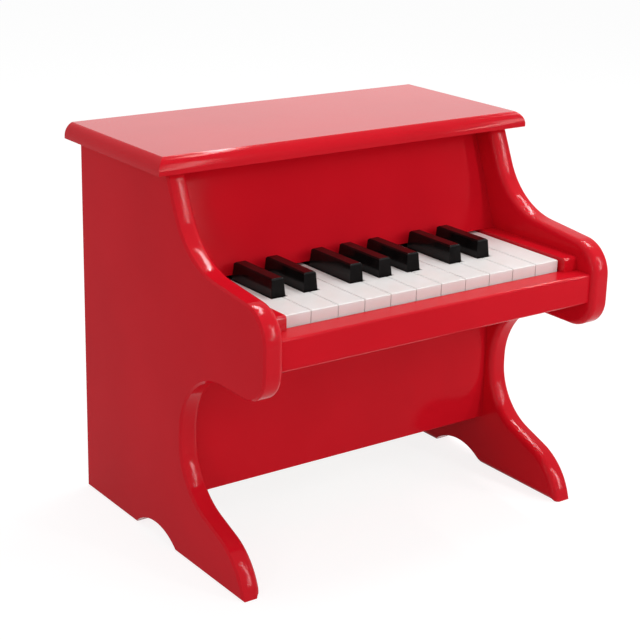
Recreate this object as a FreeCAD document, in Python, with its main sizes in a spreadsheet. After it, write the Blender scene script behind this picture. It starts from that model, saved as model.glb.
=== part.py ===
"""Toy upright piano: lacquered wooden cabinet, eighteen levers for keys, hammers and steel tone bars.

Millimetres. X runs to the player's right, Y to the back, Z up. The origin is on the floor, under the
middle of the outer box. Inside each sub-part, reach is the distance in front of the side panels' rear edge.
"""

import FreeCAD, Part
import math
import os

import Sketcher

SIZES = [
    ("overall_height", 300.0, "floor to lid top"),
    ("panel_thickness", 16.5, "side panel board"),
    ("panel_top_reach", 128.8, "side panel depth under the lid"),
    ("neck_corner_reach", 155.0, "where the neck's and the arm's straight runs would cross"),
    ("neck_corner_rise", 22.0, "the same crossing above the white keys' tops"),
    ("scoop_radius", 61.0, "hollow between neck and arm"),
    ("arm_reach", 254.0, "front of the arms"),
    ("arm_nose_rise", 11.7, "arm's top run carried on to its front, above the white keys' tops"),
    ("arm_drop", 54.0, "lower edge of the arms below the white keys' tops"),
    ("nose_upper_radius", 26.0, "round of the arm's front, above"),
    ("nose_lower_radius", 23.0, "round of the arm's front, below"),
    ("bay_back_reach", 146.2, "narrowest part of the leg"),
    ("shin_height", 56.1, "where the leg's front would meet the foot's slope"),
    ("toe_reach", 231.5, "front of the feet on the floor"),
    ("toe_rake", 9.2, "how far the feet's front leans back where their slope would meet it"),
    ("toe_height", 28.4, "foot's slope carried on to its front"),
    ("panel_edge_radius", 5.0, "rounded-over inner edges of the side panels"),
    ("panel_edge_chamfer", 1.6, "eased outer edges of the side panels"),
    ("arch_start_reach", 79.0, "rear end of the arch between the feet"),
    ("arch_end_reach", 141.0, "front end of the arch"),
    ("arch_rise", 12.5, "height of the arch"),
    ("groove_depth", 4.0, "housing grooves in the side panels"),
    ("groove_clearance", 0.1, "board to groove"),
    ("lid_thickness", 12.0, "lid board"),
    ("lid_end_overhang", 11.6, "lid past the side panels' outer faces"),
    ("lid_front_overhang", 10.5, "lid past the side panels' front"),
    ("lid_rear_overhang", 2.5, "lid past the side panels' rear edge"),
    ("lid_nose_inset", 6.5, "rounded edge of the lid, across"),
    ("lid_edge_flat", 2.0, "upright strip below the rounded edge of the lid"),
    ("batten_width", 10.0, "battens under the lid, across and down"),
    ("batten_rear_gap", 2.5, "battens to the tone block"),
    ("batten_front_gap", 5.2, "battens to the fallboard's upper edge"),
    ("seat_clearance", 0.05, "pins, bars and shaft to their seats, each side"),
    ("back_thickness", 6.0, "back panel"),
    ("back_rebate_width", 8.0, "rebate in the side panels that holds the back panel"),
    ("back_clearance", 0.2, "back panel to rebate"),
    ("fallboard_thickness", 8.0, "sloping board behind the keys, measured level"),
    ("fallboard_foot_advance", 10.9, "its lower front edge past the side panels' top"),
    ("fallboard_setback", 19.6, "its upper front edge behind the side panels' top"),
    ("fallboard_foot_rise", 2.0, "its lower edge above the white keys' tops"),
    ("knee_setback", 7.7, "knee panel behind the narrowest part of the legs"),
    ("knee_thickness", 8.0, "knee panel"),
    ("knee_foot_height", 43.0, "lower edge of the knee panel and bottom board"),
    ("bottom_thickness", 8.0, "bottom board"),
    ("bed_drop", 32.0, "lower face of key bed and key slip below the white keys' tops"),
    ("bed_thickness", 6.0, "key bed"),
    ("slip_setback", 4.2, "key slip behind the arms' front"),
    ("slip_thickness", 18.6, "key slip, front to back"),
    ("slip_drop", 8.7, "ledge in front of the keys below their tops"),
    ("slip_key_gap", 1.3, "key slip to the white keys' fronts"),
    ("slip_edge_radius", 2.0, "front edges of the key slip"),
    ("block_width", 13.5, "key blocks beside the keys"),
    ("block_nose", 5.7, "key blocks past the white keys' fronts"),
    ("block_tail", 27.7, "key blocks behind the fallboard's foot"),
    ("block_key_gap", 1.2, "key block to the end keys"),
    ("block_edge_radius", 2.5, "front top edge of the key blocks"),
    ("white_pitch", 23.0, "white key to white key"),
    ("white_gap", 0.6, "between white keys"),
    ("white_edge_chamfer", 0.5, "top edges of the white keys"),
    ("key_front_length", 89.9, "axis of the keys to the white keys' fronts"),
    ("tail_overlap", 3.5, "key's tail past the middle of the hammer's foot"),
    ("key_top_drop", 94.0, "lid's top to the tops of the white keys and of all levers"),
    ("key_thickness", 16.0, "key levers"),
    ("key_dip", 4.5, "degrees that a key turns"),
    ("black_width", 12.0, "black keys at the white keys' level"),
    ("black_height", 13.2, "black keys above the white ones"),
    ("black_taper", 4.3, "degrees that a black key's sides lean in"),
    ("black_setback", 36.4, "fronts of the black keys behind the white keys' fronts"),
    ("black_rear_gap", 3.0, "black keys to the fallboard's foot"),
    ("black_side_gap", 0.8, "black key's sides to the white keys"),
    ("black_front_gap", 1.6, "black key's front to the white keys' shoulders"),
    ("black_edge_chamfer", 1.0, "top edges of the black keys"),
    ("rail_width", 12.0, "balance rail"),
    ("rail_top_width", 6.0, "flat top of the balance rail"),
    ("rail_bevel", 2.0, "slopes beside that top"),
    ("rail_gap", 0.55, "key to balance rail"),
    ("pin_width", 1.6, "flat guide pins, across the keys"),
    ("pin_length", 4.0, "flat guide pins, along the keys"),
    ("pin_side_clearance", 0.3, "guide pin to the slot's sides"),
    ("pin_play", 1.2, "guide pin to the slot's ends"),
    ("pin_seat", 4.0, "guide pin in its rail or bed"),
    ("front_pin_entry", 5.5, "front guide pin in its key"),
    ("balance_pin_entry", 7.45, "balance pin in its key"),
    ("pin_slot_depth", 12.0, "guide slots in the keys"),
    ("white_pin_setback", 29.9, "front guide pins behind the white keys' fronts"),
    ("black_pin_setback", 25.5, "front guide pins behind the black keys' fronts"),
    ("rest_inset", 22.5, "tail's end to the middle of the rest rail"),
    ("rest_width", 14.0, "rest rail and its felt"),
    ("felt_thickness", 3.0, "felt on the rest rail"),
    ("felt_gap", 0.35, "key to felt"),
    ("white_stop_setback", 15.9, "middle of the stop felt behind the white keys' fronts"),
    ("black_stop_setback", 10.5, "middle of the stop felt behind the black keys' fronts"),
    ("stop_felt_width", 14.0, "stop felts"),
    ("hammer_pivot_reach", 21.0, "axis of the hammers"),
    ("hammer_shaft_diameter", 3.0, "steel shaft through all hammers"),
    ("hammer_shaft_seat", 8.0, "shaft in each side panel"),
    ("running_clearance", 0.06, "shaft to the hammers' bores, on the radius"),
    ("hammer_swing", 20.0, "degrees that a hammer turns"),
    ("hammer_gap", 0.6, "butt to butt"),
    ("butt_size", 7.0, "square butt of a hammer, seen from the side"),
    ("heel_length", 22.0, "butt's axis to the middle of the foot that rides on the key's tail"),
    ("heel_gap", 0.42, "foot to tail"),
    ("foot_depth", 2.9, "foot below the heel's middle"),
    ("foot_tip_width", 2.0, "underside of the foot"),
    ("foot_top_width", 5.2, "foot where it leaves the heel"),
    ("hammer_arm_thickness", 3.6, "heel and shank, seen from the side"),
    ("hammer_arm_width", 5.0, "heel and shank"),
    ("strike_drop", 14.76, "tone block to the middle of a head that strikes"),
    ("strike_gap", 0.57, "striking head to its bar"),
    ("shank_lean", 22.3, "degrees that the shank leans forward at rest"),
    ("head_length", 13.0, "hammer head, along its stroke"),
    ("head_height", 9.0, "hammer head"),
    ("head_width", 8.0, "hammer head"),
    ("head_corner", 2.0, "corners taken off the head's striking end"),
    ("bar_thickness", 2.5, "tone bars, front to back"),
    ("bar_width", 8.0, "tone bars, across"),
    ("bar_longest", 62.5, "free length of the lowest bar"),
    ("bar_seat", 12.0, "tone bar in its block"),
    ("tone_block_drop", 8.0, "lid's underside to the tone block"),
    ("tone_block_height", 18.0, "tone block"),
    ("tone_block_depth", 15.5, "tone block"),
    ("tone_block_end_margin", 8.0, "tone block past the white keys' outer edges, each end"),
    ("overrun", 2.0, "cuts past the faces that they leave through"),
]

NOTES = ["c5", "cs5", "d5", "ds5", "e5", "f5", "fs5", "g5", "gs5", "a5", "as5", "b5"]
NOTES += ["c6", "cs6", "d6", "ds6", "e6", "f6"]
# The two runs of an octave, each from a plain gap between white keys to the next. An s marks a black key.
SHORT_RUN = ["c", "cs", "d", "ds", "e"]
LONG_RUN = ["f", "fs", "g", "gs", "a", "as", "b"]
SEMITONES_PER_HALVED_LENGTH = 24
# The side panels' curves are at most as round as the straight runs beside them allow.
BAY_UPPER_SHARE = 0.579
BAY_LOWER_SHARE = 0.521
BAY_RUN_SHARE = 0.73
FLARE_RISE_SHARE = 1.76
FLARE_RUN_SHARE = 0.66
NOSE_SHARE = 0.42
SCOOP_RUN_SHARE = 0.65
ARM_RUN_SHARE = 0.95
SAME_SPOT = 1e-6


def is_white(note):
    return "s" not in note


def count_white(notes):
    return sum(is_white(note) for note in notes)


def lever_share(run):
    """Width that each lever of a run has, in white pitches."""
    return count_white(run) / len(run)


def key_layout():
    """Every key in order: note, white key number or None, and its lever's middle in white pitches."""
    layout = []
    white = 0
    for note in NOTES:
        name = note[:-1]
        run = SHORT_RUN if name in SHORT_RUN else LONG_RUN
        place = run.index(name)
        run_start = white - count_white(run[:place])
        middle_share = run_start + lever_share(run) * (place + 0.5)
        layout.append((note, white if is_white(note) else None, middle_share))
        white += is_white(note)
    return layout


class Length:
    """A size and the sheet expression that gives it, so that sums of sizes stay bound to the sheet."""

    def __init__(self, number, text):
        self.number = number
        self.text = text

    def __add__(self, other):
        return Length(self.number + number_of(other), f"({self.text} + {text_of(other)})")

    def __sub__(self, other):
        return Length(self.number - number_of(other), f"({self.text} - {text_of(other)})")

    def __mul__(self, other):
        return Length(self.number * number_of(other), f"({self.text} * {text_of(other)})")

    def __truediv__(self, other):
        return Length(self.number / number_of(other), f"({self.text} / {text_of(other)})")

    def __neg__(self):
        return Length(-self.number, f"(-{self.text})")


def number_of(size):
    return size.number if isinstance(size, Length) else size


def text_of(size):
    return size.text if isinstance(size, Length) else f"({size:.9f})"


def least(first, second):
    return Length(min(first.number, second.number), f"min({first.text}; {second.text})")


def sine(degrees):
    return Length(math.sin(math.radians(degrees.number)), f"sin({degrees.text} * 1 deg)")


def cosine(degrees):
    return Length(math.cos(math.radians(degrees.number)), f"cos({degrees.text} * 1 deg)")


class Sizes:
    """The sheet of driving sizes, read by name."""

    def __init__(self, document):
        self.sheet = document.addObject("Spreadsheet::Sheet", "Sizes")
        for row, (name, number, meaning) in enumerate(SIZES, start=1):
            self.sheet.set(f"A{row}", meaning)
            self.sheet.set(f"B{row}", str(number))
            self.sheet.setAlias(f"B{row}", name)
        document.recompute()

    def __getattr__(self, name):
        return Length(float(self.sheet.get(name)), f"Sizes.{name}")


LAYOUT = key_layout()
doc = FreeCAD.newDocument("ToyPiano")
S = Sizes(doc)
ZERO = Length(0.0, "0")

# Heights that several pieces share. The keyboard lies at a set depth below the lid.
panel_height = S.overall_height - S.lid_thickness
key_top = S.overall_height - S.key_top_drop
key_underside = key_top - S.key_thickness
bed_underside = key_top - S.bed_drop
bed_top = bed_underside + S.bed_thickness
slip_top = key_top - S.slip_drop
fallboard_foot_height = key_top + S.fallboard_foot_rise
neck_corner_height = key_top + S.neck_corner_rise
arm_nose_height = key_top + S.arm_nose_rise
arm_underside = key_top - S.arm_drop
rail_top = key_underside - S.rail_gap
bottom_board_top = S.knee_foot_height + S.bottom_thickness
tone_block_bottom = panel_height - S.tone_block_drop - S.tone_block_height
lid_nose_drop = S.lid_thickness - S.lid_edge_flat

# Widths that several pieces share.
keyboard_left = -(S.white_pitch * count_white(NOTES) / 2)
half_inner = S.block_width + S.block_key_gap - keyboard_left
housed_width = (half_inner + S.groove_depth - S.groove_clearance) * 2
lid_width = (half_inner + S.panel_thickness + S.lid_end_overhang) * 2

# Reaches that several pieces share.
rear_plane = (S.arm_reach - S.lid_rear_overhang) / 2
lid_reach = S.panel_top_reach + S.lid_front_overhang
fallboard_foot_reach = S.panel_top_reach + S.fallboard_foot_advance
fallboard_top_reach = S.panel_top_reach - S.fallboard_setback
knee_face_reach = S.bay_back_reach - S.knee_setback
knee_rear_reach = knee_face_reach - S.knee_thickness
slip_face_reach = S.arm_reach - S.slip_setback
slip_rear_reach = slip_face_reach - S.slip_thickness
key_front_reach = slip_rear_reach - S.slip_key_gap
black_front_reach = key_front_reach - S.black_setback
white_pin_reach = key_front_reach - S.white_pin_setback
black_pin_reach = black_front_reach - S.black_pin_setback
pivot_reach = key_front_reach - S.key_front_length
key_rear_reach = S.hammer_pivot_reach + S.heel_length - S.tail_overlap

# The hammer's axis lies where its foot clears the tail, and the bars where the head stops just short.
foot_drop = (S.heel_length + S.foot_tip_width / 2) * sine(S.hammer_swing / 2)
foot_drop += S.foot_depth * cosine(S.hammer_swing / 2)
hammer_pivot_height = key_top + S.heel_gap + foot_drop
struck_lean = S.shank_lean - S.hammer_swing
shank_length = (tone_block_bottom - S.strike_drop - hammer_pivot_height) / cosine(struck_lean)
strike_corner = shank_length - S.head_height / 2 + S.head_corner
strike_reach = S.hammer_pivot_reach - S.head_length / 2 * cosine(struck_lean)
strike_reach += strike_corner * sine(struck_lean)
bar_reach = strike_reach - S.strike_gap - S.bar_thickness / 2


def bind(item, path, size):
    item.setExpression(path, size.text)


def place(item, x, y, z):
    for axis, size in (("x", x), ("y", y), ("z", z)):
        bind(item, f"Placement.Base.{axis}", size)


def new_body(label, x=ZERO, y=rear_plane, z=ZERO):
    body = doc.addObject("PartDesign::Body", label)
    body.Label = label
    place(body, x, y, z)
    return body


def new_sketch(body, name, role, offset=None):
    sketch = body.newObject("Sketcher::SketchObject", name)
    plane = next(feature for feature in body.Origin.OriginFeatures if feature.Role == role)
    sketch.AttachmentSupport = [(plane, "")]
    sketch.MapMode = "FlatFace"
    if offset is not None:
        bind(sketch, "AttachmentOffset.Base.z", offset)
    return sketch


def pin_point(sketch, curve, spot, across, up):
    """Hold a point of a curve at two sizes from the sketch's origin."""
    for kind, size in (("DistanceX", across), ("DistanceY", up)):
        row = sketch.addConstraint(Sketcher.Constraint(kind, -1, 1, curve, spot, size.number))
        bind(sketch, f"Constraints[{row}]", size)


def draw_polygon(sketch, corners):
    """Closed run of straight lines through corners given as pairs of sizes."""
    points = [FreeCAD.Vector(across.number, up.number, 0) for across, up in corners]
    lines = []
    for start, end in zip(points, points[1:] + points[:1]):
        lines.append(sketch.addGeometry(Part.LineSegment(start, end)))
    for line, following in zip(lines, lines[1:] + lines[:1]):
        sketch.addConstraint(Sketcher.Constraint("Coincident", line, 2, following, 1))
    for line, (across, up) in zip(lines, corners):
        pin_point(sketch, line, 1, across, up)


def draw_circle(sketch, across, up, radius):
    centre = FreeCAD.Vector(across.number, up.number, 0)
    circle = sketch.addGeometry(Part.Circle(centre, FreeCAD.Vector(0, 0, 1), radius.number))
    pin_point(sketch, circle, 3, across, up)
    row = sketch.addConstraint(Sketcher.Constraint("Radius", circle, radius.number))
    bind(sketch, f"Constraints[{row}]", radius)


def draw_rounded_outline(sketch, corners):
    """Closed outline whose corners are (across, up, radius), with None for a sharp corner."""
    count = len(corners)
    points = [FreeCAD.Vector(across.number, up.number, 0) for across, up, radius in corners]
    leaving = []
    arriving = []
    centres = []
    for index, (across, up, radius) in enumerate(corners):
        back = (points[index - 1] - points[index]).normalize()
        ahead = (points[(index + 1) % count] - points[index]).normalize()
        if radius is None:
            leaving.append(points[index])
            arriving.append(points[index])
            centres.append(None)
            continue
        half_angle = back.getAngle(ahead) / 2
        run = radius.number / math.tan(half_angle)
        arriving.append(points[index] + back * run)
        leaving.append(points[index] + ahead * run)
        centres.append(points[index] + (back + ahead).normalize() * (radius.number / math.sin(half_angle)))
    lines = []
    for index in range(count):
        following = (index + 1) % count
        lines.append(sketch.addGeometry(Part.LineSegment(leaving[index], arriving[following])))
    for index, (across, up, radius) in enumerate(corners):
        line = lines[index]
        before = lines[index - 1]
        if radius is None:
            sketch.addConstraint(Sketcher.Constraint("Coincident", before, 2, line, 1))
            pin_point(sketch, line, 1, across, up)
            continue
        arc = add_corner_arc(sketch, centres[index], radius, arriving[index], leaving[index])
        for straight, end, touch in ((before, 2, arriving[index]), (line, 1, leaving[index])):
            spot = nearer_end(sketch, arc, touch)
            sketch.addConstraint(Sketcher.Constraint("Tangent", straight, end, arc, spot))
        corner = sketch.addGeometry(Part.Point(points[index]), True)
        pin_point(sketch, corner, 1, across, up)
        for straight in (before, line):
            sketch.addConstraint(Sketcher.Constraint("PointOnObject", corner, 1, straight))


def add_corner_arc(sketch, centre, radius, first, last):
    """Arc of a rounded corner, with its radius bound to the sheet."""
    start = math.atan2(first.y - centre.y, first.x - centre.x)
    end = math.atan2(last.y - centre.y, last.x - centre.x)
    if (end - start) % (2 * math.pi) > math.pi:
        start, end = end, start
    circle = Part.Circle(centre, FreeCAD.Vector(0, 0, 1), radius.number)
    arc = sketch.addGeometry(Part.ArcOfCircle(circle, start, end))
    row = sketch.addConstraint(Sketcher.Constraint("Radius", arc, radius.number))
    bind(sketch, f"Constraints[{row}]", radius)
    return arc


def nearer_end(sketch, curve, point):
    ends = (sketch.getPoint(curve, 1), sketch.getPoint(curve, 2))
    return 1 if (ends[0] - point).Length < (ends[1] - point).Length else 2


def sketched_feature(kind, body, name, sketch, length, symmetric, reverse):
    feature = body.newObject(kind, name)
    feature.Profile = sketch
    bind(feature, "Length", length)
    if symmetric:
        feature.SideType = "Symmetric"
    feature.Reversed = reverse
    sketch.Visibility = False
    doc.recompute()
    return feature


def pad(body, name, sketch, length, symmetric=False, reverse=False):
    return sketched_feature("PartDesign::Pad", body, name, sketch, length, symmetric, reverse)


def pocket(body, name, sketch, length, symmetric=False, reverse=False):
    """Cut a sketch out of a body, and make sure that it took something away."""
    before = body.Shape.Volume
    feature = sketched_feature("PartDesign::Pocket", body, name, sketch, length, symmetric, reverse)
    if not body.Shape.Volume < before:
        raise RuntimeError(f"{name} cuts nothing")
    return feature


def round_edges(body, base, wanted, radius):
    """Round the edges of a feature that a test picks out."""
    fillet = body.newObject("PartDesign::Fillet", "rounded_edges")
    fillet.Base = (base, edge_names(base, wanted))
    bind(fillet, "Radius", radius)
    doc.recompute()
    return fillet


def ease_edges(body, base, wanted, size):
    """Chamfer the edges of a feature that a test picks out."""
    chamfer = body.newObject("PartDesign::Chamfer", "eased_edges")
    chamfer.Base = (base, edge_names(base, wanted))
    bind(chamfer, "Size", size)
    doc.recompute()


def edge_names(base, wanted):
    return [f"Edge{row}" for row, edge in enumerate(base.Shape.Edges, start=1) if wanted(edge)]


def lies_at(edge, axis, spot):
    """True where both ends of an edge have one coordinate at a given spot."""
    return all(abs(getattr(vertex.Point, axis) - spot) < SAME_SPOT for vertex in edge.Vertexes)


def rectangle(left, right, bottom, top):
    return [(left, bottom), (right, bottom), (right, top), (left, top)]


def make_board(label, corners, length):
    """Board of one section all along, drawn from the side and centred between the side panels."""
    body = new_body(label)
    section = new_sketch(body, "section", "YZ_Plane")
    draw_polygon(section, corners)
    pad(body, "board", section, length, symmetric=True)
    return body


def make_box(label, left, right, front_reach, rear_reach, bottom, top):
    box = doc.addObject("Part::Box", label)
    box.Label = label
    bind(box, "Length", right - left)
    bind(box, "Width", front_reach - rear_reach)
    bind(box, "Height", top - bottom)
    place(box, left, rear_plane - front_reach, bottom)
    return box


def make_group(label, members):
    group = doc.addObject("Part::Compound", label)
    group.Label = label
    group.Links = members
    return group


def board_sections():
    """Sections of the boards that the side panels house, with room to spare round each."""
    spare = S.groove_clearance
    knee_front = -(knee_face_reach + spare)
    knee_rear = -(knee_rear_reach - spare)
    foot = S.knee_foot_height - spare
    return {
        "bed_groove": rectangle(-(slip_rear_reach + spare), ZERO, bed_underside - spare, bed_top + spare),
        "knee_groove": rectangle(knee_front, knee_rear, foot, bed_underside),
        "bottom_groove": rectangle(-knee_rear_reach, ZERO, foot, bottom_board_top + spare),
        "fallboard_groove": fallboard_section(spare),
    }


def fallboard_section(spare):
    foot = fallboard_foot_reach
    top = fallboard_top_reach
    thick = S.fallboard_thickness
    return [
        (-(foot + spare), fallboard_foot_height - spare),
        (-(foot - thick - spare), fallboard_foot_height - spare),
        (-(top - thick - spare), panel_height),
        (-(top + spare), panel_height),
    ]


def make_side_panel(label, side):
    """Side panel drawn on its inner face. side is -1 on the left and 1 on the right."""
    body = new_body(label, half_inner * side)
    outline = new_sketch(body, "outline", "YZ_Plane")
    toe_corner_reach = S.toe_reach - S.toe_rake
    bay_run = toe_corner_reach - S.bay_back_reach
    bay_rise = arm_underside - S.shin_height
    flare_radius = least(S.toe_height * FLARE_RISE_SHARE, bay_run * FLARE_RUN_SHARE)
    scoop_radius = least(S.scoop_radius, (S.arm_reach - S.neck_corner_reach) * SCOOP_RUN_SHARE)
    nose_room = (arm_nose_height - arm_underside) * NOSE_SHARE
    nose_lower = least(S.nose_lower_radius, nose_room)
    arm_run = S.arm_reach - S.bay_back_reach - nose_lower
    bay_upper = least(bay_rise * BAY_UPPER_SHARE, arm_run * ARM_RUN_SHARE)
    bay_lower = least(bay_rise * BAY_LOWER_SHARE, bay_run * BAY_RUN_SHARE)
    corners = [
        (ZERO, ZERO, None),
        (ZERO, panel_height, None),
        (-S.panel_top_reach, panel_height, None),
        (-S.neck_corner_reach, neck_corner_height, scoop_radius),
        (-S.arm_reach, arm_nose_height, least(S.nose_upper_radius, nose_room)),
        (-S.arm_reach, arm_underside, nose_lower),
        (-S.bay_back_reach, arm_underside, bay_upper),
        (-S.bay_back_reach, S.shin_height, bay_lower),
        (-toe_corner_reach, S.toe_height, flare_radius),
        (-S.toe_reach, ZERO, None),
    ]
    draw_rounded_outline(outline, corners)
    board = pad(body, "board", outline, S.panel_thickness, reverse=side < 0)
    outer_face = S.panel_thickness * side

    def under_lid(edge):
        return lies_at(edge, "z", panel_height.number)

    def on_outer_face(edge):
        return lies_at(edge, "x", outer_face.number) and not under_lid(edge)

    def on_inner_face(edge):
        return lies_at(edge, "x", ZERO.number) and not under_lid(edge)

    rounded = round_edges(body, board, on_inner_face, S.panel_edge_radius)
    ease_edges(body, rounded, on_outer_face, S.panel_edge_chamfer)
    inward = side > 0
    arch = new_sketch(body, "arch", "YZ_Plane")
    half_span = (S.arch_end_reach - S.arch_start_reach) / 2
    arch_radius = (half_span * half_span + S.arch_rise * S.arch_rise) / (S.arch_rise * 2)
    draw_circle(arch, -(S.arch_start_reach + half_span), S.arch_rise - arch_radius, arch_radius)
    pocket(body, "floor_arch", arch, S.panel_thickness + S.overrun, reverse=inward)
    for name, corners in board_sections().items():
        groove = new_sketch(body, f"{name}_outline", "YZ_Plane")
        draw_polygon(groove, corners)
        pocket(body, name, groove, S.groove_depth, reverse=inward)
    rebate = new_sketch(body, "rebate", "YZ_Plane")
    rebate_foot = S.knee_foot_height - S.back_clearance
    draw_polygon(rebate, rectangle(-S.back_thickness, S.overrun, rebate_foot, panel_height))
    pocket(body, "back_rebate", rebate, S.back_rebate_width, reverse=inward)
    seat = new_sketch(body, "shaft_seat", "YZ_Plane")
    seat_radius = S.hammer_shaft_diameter / 2 + S.seat_clearance
    draw_circle(seat, -S.hammer_pivot_reach, hammer_pivot_height, seat_radius)
    pocket(body, "hammer_shaft_hole", seat, S.hammer_shaft_seat, reverse=inward)
    return body


def draw_nose_cut(sketch, edge, outward):
    """What the rounded edge takes off a square one. outward is the sign of the way out."""
    top = S.lid_thickness
    foot = top - lid_nose_drop
    inner = edge - S.lid_nose_inset * outward
    outer = edge + S.overrun * outward
    radius = (S.lid_nose_inset * S.lid_nose_inset + lid_nose_drop * lid_nose_drop) / (S.lid_nose_inset * 2)
    corners = [(edge, foot), (outer, foot), (outer, top + S.overrun), (inner, top + S.overrun), (inner, top)]
    points = [FreeCAD.Vector(across.number, up.number, 0) for across, up in corners]
    lines = []
    for start, end in zip(points, points[1:]):
        lines.append(sketch.addGeometry(Part.LineSegment(start, end)))
    for line, following in zip(lines, lines[1:]):
        sketch.addConstraint(Sketcher.Constraint("Coincident", line, 2, following, 1))
    for line, (across, up) in zip(lines, corners):
        pin_point(sketch, line, 1, across, up)
    pin_point(sketch, lines[-1], 2, *corners[-1])
    centre = FreeCAD.Vector(edge.number - radius.number * outward, foot.number, 0)
    arc = add_corner_arc(sketch, centre, radius, points[0], points[-1])
    for line, end, touch in ((lines[0], 1, points[0]), (lines[-1], 2, points[-1])):
        spot = nearer_end(sketch, arc, touch)
        sketch.addConstraint(Sketcher.Constraint("Coincident", line, end, arc, spot))


def make_lid():
    """Lid board with a rounded edge at the front and both ends, mitred at the corners."""
    body = new_body("lid", z=panel_height)
    plan = new_sketch(body, "plan", "XY_Plane")
    half_width = lid_width / 2
    draw_polygon(plan, rectangle(-half_width, half_width, -lid_reach, S.lid_rear_overhang))
    pad(body, "board", plan, S.lid_thickness)
    ends = new_sketch(body, "end_noses", "XZ_Plane")
    draw_nose_cut(ends, half_width, 1)
    draw_nose_cut(ends, -half_width, -1)
    pocket(body, "rounded_ends", ends, (lid_reach + S.overrun) * 2, symmetric=True)
    front = new_sketch(body, "front_nose", "YZ_Plane")
    draw_nose_cut(front, -lid_reach, -1)
    pocket(body, "rounded_front", front, lid_width + S.overrun, symmetric=True)
    return body


def make_lid_battens():
    """Strips that the lid is glued down to, one along each side panel."""
    battens = []
    front = fallboard_top_reach - S.fallboard_thickness - S.batten_front_gap
    rear = S.back_thickness + S.tone_block_depth + S.batten_rear_gap
    bottom = panel_height - S.batten_width
    for left in (-half_inner, half_inner - S.batten_width):
        right = left + S.batten_width
        battens.append(make_box("batten", left, right, front, rear, bottom, panel_height))
    return make_group("lid_battens", battens)


def make_back_panel():
    half_width = half_inner + S.back_rebate_width - S.back_clearance
    return make_box(
        "back_panel", -half_width, half_width, S.back_thickness, ZERO, S.knee_foot_height, panel_height
    )


def make_key_slip():
    body = new_body("key_slip")
    section = new_sketch(body, "section", "YZ_Plane")
    corners = [
        (-slip_rear_reach, bed_underside, None),
        (-slip_rear_reach, slip_top, None),
        (-slip_face_reach, slip_top, S.slip_edge_radius),
        (-slip_face_reach, bed_underside, S.slip_edge_radius),
    ]
    draw_rounded_outline(section, corners)
    pad(body, "board", section, half_inner * 2, symmetric=True)
    return body


def make_key_block(label, side):
    """Cheek at one end of the keys, stepped over the key slip."""
    body = new_body(label, half_inner * side)
    section = new_sketch(body, "section", "YZ_Plane")
    front = -(key_front_reach + S.block_nose)
    rear = -(fallboard_foot_reach - S.block_tail)
    corners = [
        (rear, bed_top, None),
        (rear, fallboard_foot_height, None),
        (front, fallboard_foot_height, S.block_edge_radius),
        (front, slip_top, None),
        (-slip_rear_reach, slip_top, None),
        (-slip_rear_reach, bed_top, None),
    ]
    draw_rounded_outline(section, corners)
    pad(body, "cheek", section, S.block_width, reverse=side > 0)
    return body


def front_pin_places():
    """Front guide pin of every key, as pairs of x and reach."""
    places = []
    for note, white, middle_share in LAYOUT:
        if white is None:
            places.append((keyboard_left + S.white_pitch * middle_share, black_pin_reach))
        else:
            places.append((keyboard_left + S.white_pitch * (white + 0.5), white_pin_reach))
    return places


def balance_pin_places():
    """Balance pin of every key, as pairs of x and reach."""
    places = []
    for note, white, middle_share in LAYOUT:
        places.append((keyboard_left + S.white_pitch * middle_share, pivot_reach))
    return places


def cut_pin_seats(body, places, top):
    seats = new_sketch(body, "pin_places", "XY_Plane", top)
    half_width = S.pin_width / 2 + S.seat_clearance
    half_length = S.pin_length / 2 + S.seat_clearance
    for x, reach in places:
        front = -reach - half_length
        rear = -reach + half_length
        draw_polygon(seats, rectangle(x - half_width, x + half_width, front, rear))
    pocket(body, "pin_seats", seats, S.pin_seat)


def make_pins(label, places, foot, top):
    """Flat steel pins, standing in the seats cut for them."""
    pins = []
    half_width = S.pin_width / 2
    half_length = S.pin_length / 2
    for x, reach in places:
        front = reach + half_length
        rear = reach - half_length
        pins.append(make_box("pin", x - half_width, x + half_width, front, rear, foot, top))
    return make_group(label, pins)


def make_key_bed():
    body = new_body("key_bed", z=bed_underside)
    plan = new_sketch(body, "plan", "XY_Plane")
    half_width = housed_width / 2
    draw_polygon(plan, rectangle(-half_width, half_width, -slip_rear_reach, -S.back_thickness))
    pad(body, "board", plan, S.bed_thickness)
    cut_pin_seats(body, front_pin_places(), S.bed_thickness)
    return body


def make_balance_rail():
    """Rail that the keys rock on, narrowed towards its top."""
    body = new_body("balance_rail")
    section = new_sketch(body, "section", "YZ_Plane")
    half_width = S.rail_width / 2
    half_top = S.rail_top_width / 2
    shoulder = rail_top - S.rail_bevel
    corners = [
        (half_width, bed_top),
        (half_width, shoulder),
        (half_top, rail_top),
        (-half_top, rail_top),
        (-half_width, shoulder),
        (-half_width, bed_top),
    ]
    draw_polygon(section, [(across - pivot_reach, up) for across, up in corners])
    pad(body, "rail", section, -keyboard_left * 2, symmetric=True)
    cut_pin_seats(body, balance_pin_places(), rail_top)
    return body


def cut_pin_slot(body, name, slot_x, pin_reach):
    """Slot in a key's underside that a guide pin stands in."""
    slot = new_sketch(body, f"{name}_outline", "XY_Plane")
    half_width = S.pin_width / 2 + S.pin_side_clearance
    half_length = S.pin_length / 2 + S.pin_play
    middle = pivot_reach - pin_reach
    corners = rectangle(slot_x - half_width, slot_x + half_width, middle - half_length, middle + half_length)
    draw_polygon(slot, corners)
    pocket(body, name, slot, S.pin_slot_depth, reverse=True)


def black_between(white):
    """Middle of the black key in the gap before a white key, in white pitches, or None."""
    for index, (note, number, middle_share) in enumerate(LAYOUT):
        if number is None and LAYOUT[index + 1][1] == white:
            return middle_share
    return None


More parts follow.
